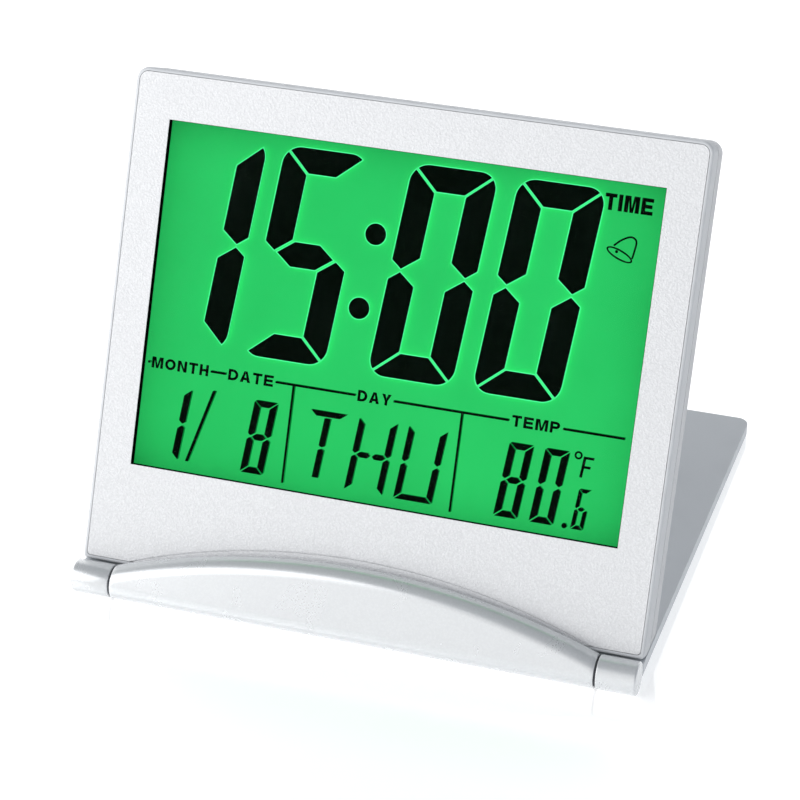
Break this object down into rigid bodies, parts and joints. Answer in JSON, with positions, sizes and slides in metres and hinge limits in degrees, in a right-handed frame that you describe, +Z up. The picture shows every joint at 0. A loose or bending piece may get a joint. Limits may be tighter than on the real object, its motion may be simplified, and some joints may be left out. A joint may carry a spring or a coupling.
{
  "type": "folding alarm clock",
  "caption": "Foldable desk alarm clock: a leaning display body with a wide lit display, hinged at its foot to a flat cover that swings round behind it as the stand.",
  "frame": {"origin": "middle of the footprint, on the table", "axes": "+X to the right seen from the front, +Y from the display towards the stand's far edge, +Z up"},
  "size_m": [0.115, 0.105, 0.0953],
  "materials": {
    "silver_grain": "silver paint with a fine leather grain",
    "silver_smooth": "smooth satin silver paint",
    "silver_gloss": "bright silver lacquer",
    "silver_back": "fine matt silver paint",
    "button_grey": "satin grey",
    "clear_lens": "clear polished",
    "display": "lit green liquid-crystal panel",
    "diffuser": "milky light guide",
    "board": "coated circuit board",
    "black_resin": "dull black",
    "rubber": "dull rubber",
    "steel": "plain steel",
    "brass": "plain brass"
  },
  "bodies": {
    "clock_body": {"face_plate": "silver_grain", "front_case": "silver_smooth", "hinge_knuckle": "silver_gloss", "rear_case": "silver_back", "window_lens": "clear_lens", "lcd_front_glass": "display", "lcd_rear_glass": "display", "light_guide": "diffuser", "backlight_led_left": "diffuser", "backlight_led_right": "diffuser", "lcd_connector_strip": "rubber", "circuit_board": "board", "clock_chip": "black_resin", "hinge_washer_left": "black_resin", "hinge_washer_right": "black_resin", "clock_crystal": "steel", "coin_cell": "steel", "hinge_pin_left": "steel", "hinge_pin_right": "steel", "knuckle_screw_left": "steel", "knuckle_screw_right": "steel", "case_screw_1": "steel", "case_screw_2": "steel", "case_screw_3": "steel", "case_screw_4": "steel", "switch_dome_mode": "steel", "switch_dome_set": "steel", "switch_dome_up": "steel", "switch_dome_down": "steel", "switch_dome_alarm": "steel", "switch_dome_snooze": "steel", "cell_contact_minus": "brass", "cell_contact_plus": "brass", "buzzer_disc": "brass"},
    "cover": {"cover_plate": "silver_smooth", "cover_barrel_left": "silver_gloss", "cover_barrel_right": "silver_gloss", "cover_pad_1": "rubber", "cover_pad_2": "rubber", "cover_pad_3": "rubber", "cover_pad_4": "rubber"},
    "battery_door": {"battery_door": "silver_back"},
    "button_mode": {"button_mode": "button_grey"},
    "button_set": {"button_set": "button_grey"},
    "button_up": {"button_up": "button_grey"},
    "button_down": {"button_down": "button_grey"},
    "button_alarm": {"button_alarm": "button_grey"},
    "button_snooze_light": {"button_snooze_light": "button_grey"}
  },
  "joints": [
    {"name": "cover_hinge", "type": "hinge", "parent": "clock_body", "child": "cover", "pos_m": [0, -0.04912, 0.00335], "axis": [1, 0, 0], "range_deg": [-292.8, 0]},
    {"name": "battery_door_lift", "type": "slide", "parent": "clock_body", "child": "battery_door", "axis": [0, 0.9157, -0.4019], "range_m": [0, 0.012]},
    {"name": "button_mode_press", "type": "slide", "parent": "clock_body", "child": "button_mode", "axis": [0, -0.9157, 0.4019], "range_m": [0, 0.0005], "stiffness_N_per_m": 600},
    {"name": "button_set_press", "type": "slide", "parent": "clock_body", "child": "button_set", "axis": [0, -0.9157, 0.4019], "range_m": [0, 0.0005], "stiffness_N_per_m": 600},
    {"name": "button_up_press", "type": "slide", "parent": "clock_body", "child": "button_up", "axis": [0, -0.9157, 0.4019], "range_m": [0, 0.0005], "stiffness_N_per_m": 600},
    {"name": "button_down_press", "type": "slide", "parent": "clock_body", "child": "button_down", "axis": [0, -0.9157, 0.4019], "range_m": [0, 0.0005], "stiffness_N_per_m": 600},
    {"name": "button_alarm_press", "type": "slide", "parent": "clock_body", "child": "button_alarm", "axis": [0, -0.9157, 0.4019], "range_m": [0, 0.0005], "stiffness_N_per_m": 600},
    {"name": "button_snooze_light_press", "type": "slide", "parent": "clock_body", "child": "button_snooze_light", "axis": [0, -0.9157, 0.4019], "range_m": [0, 0.0005], "stiffness_N_per_m": 600}
  ]
}
